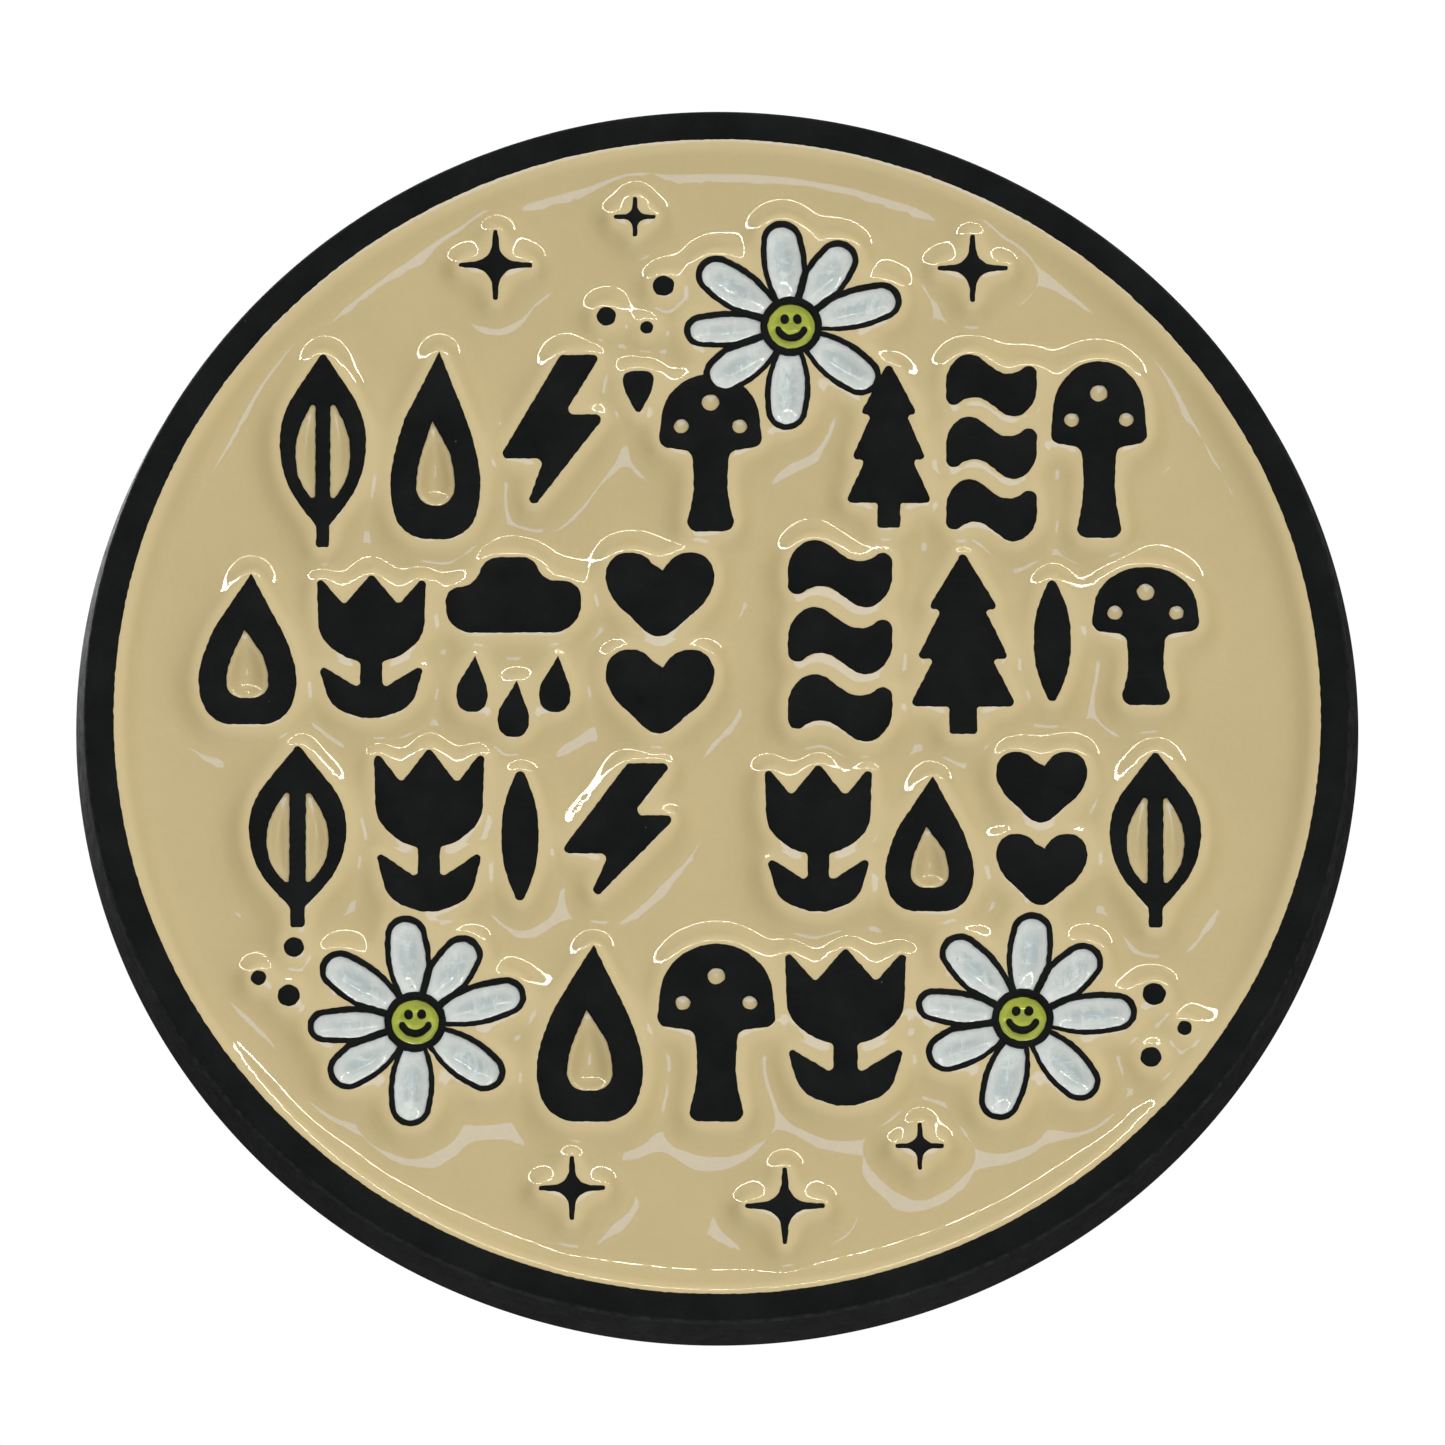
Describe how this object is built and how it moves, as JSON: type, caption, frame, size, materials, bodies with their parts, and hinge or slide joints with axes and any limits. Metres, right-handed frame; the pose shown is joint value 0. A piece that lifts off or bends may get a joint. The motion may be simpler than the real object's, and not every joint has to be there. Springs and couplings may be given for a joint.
{
  "type": "enamel lapel pin",
  "caption": "Round soft-enamel lapel pin with raised nature motifs and smiling daisies, held through cloth by posts with squeeze-to-release butterfly clutches.",
  "frame": {"origin": "centre of the plane on which the back's raised border bears on the cloth", "axes": "+Z is the top of the design as worn, the enamelled face looks along -Y, the posts point along +Y, and +X is to the right when looking at the face"},
  "size_m": [0.0381, 0.0118, 0.038],
  "materials": {
    "dyed_metal": "black dyed, satin",
    "cream_enamel": "gloss",
    "petal_enamel": "gloss",
    "centre_enamel": "gloss",
    "solder": "satin",
    "post_steel": "satin nickel plate",
    "spring_wire": "drawn wire",
    "clutch_plating": "bright nickel plate"
  },
  "bodies": {
    "pin": {"cream_enamel_field": "cream_enamel", "cream_enamel_islands": "cream_enamel", "left_daisy_centre": "centre_enamel", "left_daisy_petal_1": "petal_enamel", "left_daisy_petal_2": "petal_enamel", "left_daisy_petal_3": "petal_enamel", "left_daisy_petal_4": "petal_enamel", "left_daisy_petal_5": "petal_enamel", "left_daisy_petal_6": "petal_enamel", "left_daisy_petal_7": "petal_enamel", "left_daisy_petal_8": "petal_enamel", "left_post": "post_steel", "left_solder": "solder", "right_daisy_centre": "centre_enamel", "right_daisy_petal_1": "petal_enamel", "right_daisy_petal_2": "petal_enamel", "right_daisy_petal_3": "petal_enamel", "right_daisy_petal_4": "petal_enamel", "right_daisy_petal_5": "petal_enamel", "right_daisy_petal_6": "petal_enamel", "right_daisy_petal_7": "petal_enamel", "right_daisy_petal_8": "petal_enamel", "right_post": "post_steel", "right_solder": "solder", "struck_plate": "dyed_metal", "top_daisy_centre": "centre_enamel", "top_daisy_petal_1": "petal_enamel", "top_daisy_petal_2": "petal_enamel", "top_daisy_petal_3": "petal_enamel", "top_daisy_petal_4": "petal_enamel", "top_daisy_petal_5": "petal_enamel", "top_daisy_petal_6": "petal_enamel", "top_daisy_petal_7": "petal_enamel", "top_daisy_petal_8": "petal_enamel"},
    "left_clutch": {"left_clutch_bridge": "clutch_plating", "left_clutch_dish": "clutch_plating", "left_clutch_spring": "spring_wire"},
    "left_wing_outer": {"left_clutch_wing_outer": "clutch_plating"},
    "left_wing_inner": {"left_clutch_wing_inner": "clutch_plating"},
    "right_clutch": {"right_clutch_bridge": "clutch_plating", "right_clutch_dish": "clutch_plating", "right_clutch_spring": "spring_wire"},
    "right_wing_outer": {"right_clutch_wing_outer": "clutch_plating"},
    "right_wing_inner": {"right_clutch_wing_inner": "clutch_plating"}
  },
  "joints": [
    {"name": "left_clutch_slide", "type": "slide", "parent": "pin", "child": "left_clutch", "axis": [0, 1, 0], "range_m": [-0.004, 0.01]},
    {"name": "left_wing_outer_squeeze", "type": "hinge", "parent": "left_clutch", "child": "left_wing_outer", "pos_m": [-0.0116, 0.007, 0.003], "axis": [0, 0, -1], "range_deg": [0, 10], "stiffness_Nm_per_rad": 0.03, "springref_deg": -8.59, "deforming": ["left_clutch_spring"]},
    {"name": "left_wing_inner_squeeze", "type": "hinge", "parent": "left_clutch", "child": "left_wing_inner", "pos_m": [-0.0064, 0.007, 0.003], "axis": [0, 0, 1], "range_deg": [0, 10], "stiffness_Nm_per_rad": 0.03, "springref_deg": -8.59, "deforming": ["left_clutch_spring"]},
    {"name": "right_clutch_slide", "type": "slide", "parent": "pin", "child": "right_clutch", "axis": [0, 1, 0], "range_m": [-0.004, 0.01]},
    {"name": "right_wing_outer_squeeze", "type": "hinge", "parent": "right_clutch", "child": "right_wing_outer", "pos_m": [0.0116, 0.007, 0.003], "axis": [0, 0, 1], "range_deg": [0, 10], "stiffness_Nm_per_rad": 0.03, "springref_deg": -8.59, "deforming": ["right_clutch_spring"]},
    {"name": "right_wing_inner_squeeze", "type": "hinge", "parent": "right_clutch", "child": "right_wing_inner", "pos_m": [0.0064, 0.007, 0.003], "axis": [0, 0, -1], "range_deg": [0, 10], "stiffness_Nm_per_rad": 0.03, "springref_deg": -8.59, "deforming": ["right_clutch_spring"]}
  ]
}
